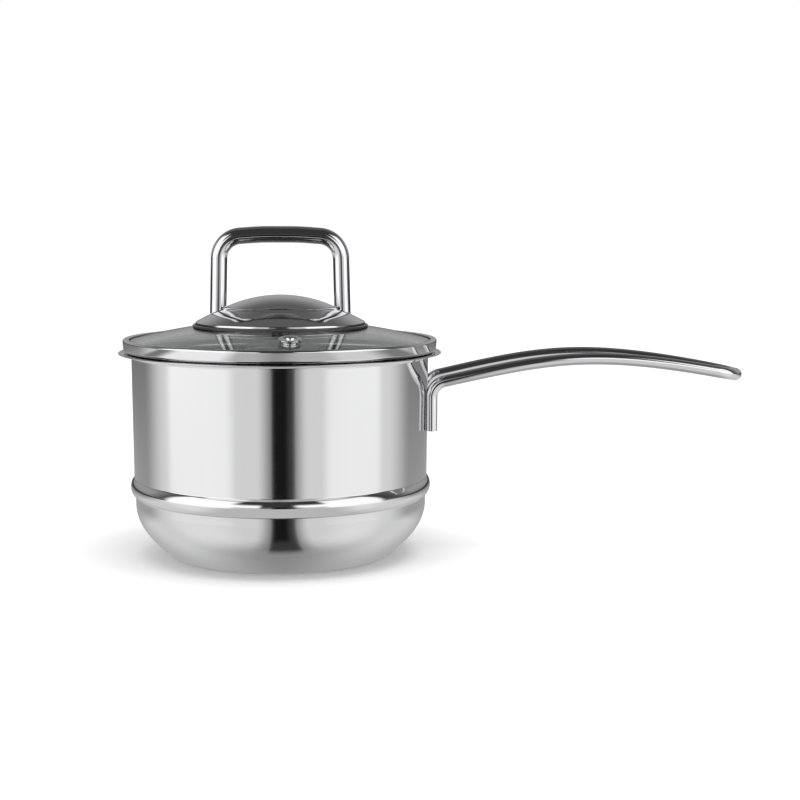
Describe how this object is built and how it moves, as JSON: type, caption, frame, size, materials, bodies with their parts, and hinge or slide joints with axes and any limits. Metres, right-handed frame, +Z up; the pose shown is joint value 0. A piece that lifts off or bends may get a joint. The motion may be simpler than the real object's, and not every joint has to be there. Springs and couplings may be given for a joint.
{
  "type": "fondue pot",
  "caption": "Polished steel fondue pan with a beaded wall, a bent wire handle and a domed glass lid with a steel rim, rosette and arch handle.",
  "frame": {"origin": "centre of the pan's flat base, on the surface that it stands on", "axes": "+Z up along the pan's axis, +X from that axis along the long handle"},
  "size_m": [0.3442, 0.1752, 0.1795],
  "materials": {
    "polished_steel": "mirror-polished stainless steel",
    "plain_steel": "turned stainless steel, plain",
    "tempered_glass": "clear tempered glass, ground edge",
    "dark_silicone": "moulded black silicone, satin",
    "clear_silicone": "translucent glazing silicone"
  },
  "bodies": {
    "pot": {"pot_body": "polished_steel", "long_handle": "polished_steel"},
    "lid": {"lid_rim_ring": "polished_steel", "rim_bedding": "clear_silicone", "lid_glass": "tempered_glass", "vent_eyelet": "plain_steel", "vent_grommet": "dark_silicone", "vent_washer": "plain_steel", "lid_rosette": "polished_steel", "rosette_gasket": "dark_silicone", "lid_handle": "polished_steel", "rosette_boss": "plain_steel", "lid_screw": "plain_steel", "screw_washer": "plain_steel", "inner_seal": "dark_silicone"}
  },
  "joints": [
    {"name": "lid_lift", "type": "slide", "parent": "pot", "child": "lid", "axis": [0, 0, 1], "range_m": [0, 0.12]}
  ]
}
